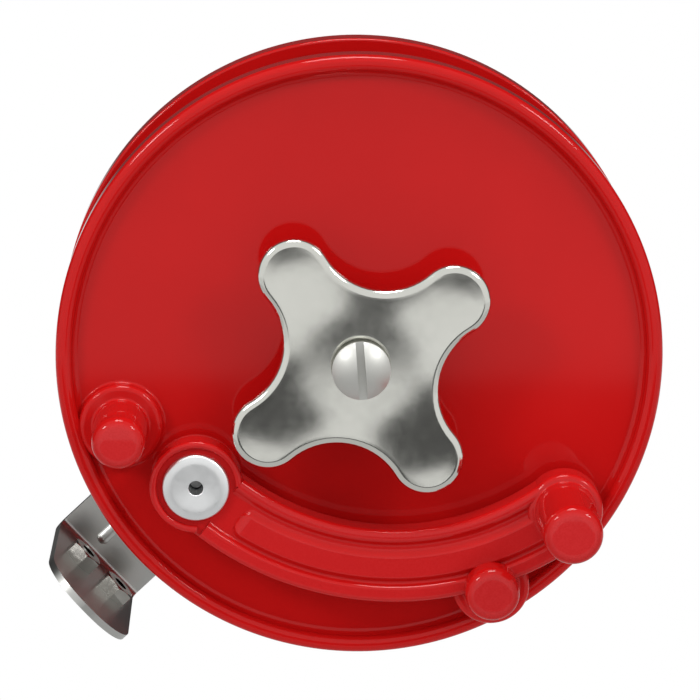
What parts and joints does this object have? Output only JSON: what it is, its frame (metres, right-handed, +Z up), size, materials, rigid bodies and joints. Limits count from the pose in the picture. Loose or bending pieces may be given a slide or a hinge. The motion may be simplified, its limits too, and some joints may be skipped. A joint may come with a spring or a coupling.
{
  "type": "fishing reel",
  "caption": "Single-action drum fishing reel: a dished flanged spool with a finger peg and a folding crank arm, a drag star on a fixed spindle and a bent foot bracket.",
  "frame": {"origin": "middle of the line drum, on the spindle axis", "axes": "+Y along the spindle axis, away from the crank side towards the bracket leg; +Z up and +X right as seen from the crank side"},
  "size_m": [0.1295, 0.0817, 0.127],
  "materials": {
    "red_plastic": "high gloss moulding",
    "stainless": "satin stainless sheet and fasteners",
    "polished": "polished pressed metal",
    "aluminium": "bright drawn",
    "steel": "plain steel",
    "brass": "turned",
    "nylon": "natural nylon",
    "fibre": "pressed fibre"
  },
  "bodies": {
    "frame": {"foot_bracket": "stainless", "foot_nuts": "stainless", "spindle": "stainless", "spindle_nut": "stainless", "lock_washer": "stainless", "rear_drag_washer": "fibre", "front_drag_washer": "fibre", "pressure_washer": "stainless", "disc_spring": "stainless", "cap_screw": "stainless"},
    "spool": {"front_flange": "red_plastic", "drum": "red_plastic", "back_flange": "red_plastic", "flange_screws": "stainless", "front_bush": "nylon", "rear_bush": "nylon", "crank_rivet": "aluminium", "rivet_mandrel": "steel", "backup_washer": "stainless", "pivot_washer": "nylon"},
    "crank": {"crank_arm": "red_plastic"},
    "thrust": {"thrust_washer": "stainless"},
    "star": {"drag_star": "polished", "star_nut": "brass"}
  },
  "joints": [
    {"name": "spool_spin", "type": "hinge", "parent": "frame", "child": "spool", "pos_m": [0, 0, 0], "axis": [0, 1, 0], "continuous": true},
    {"name": "crank_fold", "type": "hinge", "parent": "spool", "child": "crank", "pos_m": [-0.03426, -0.0245, -0.02582], "axis": [0, 1, 0], "range_deg": [0, 125]},
    {"name": "drag_travel", "type": "slide", "parent": "frame", "child": "thrust", "axis": [0, -1, 0], "range_m": [0, 0.00151]},
    {"name": "star_turn", "type": "hinge", "parent": "thrust", "child": "star", "pos_m": [0, 0, 0], "axis": [0, 1, 0], "range_deg": [-540, 0]}
  ],
  "couplings": [
    {"joint": "drag_travel", "follows": "star_turn", "m_per_rad": -0.00015915}
  ]
}
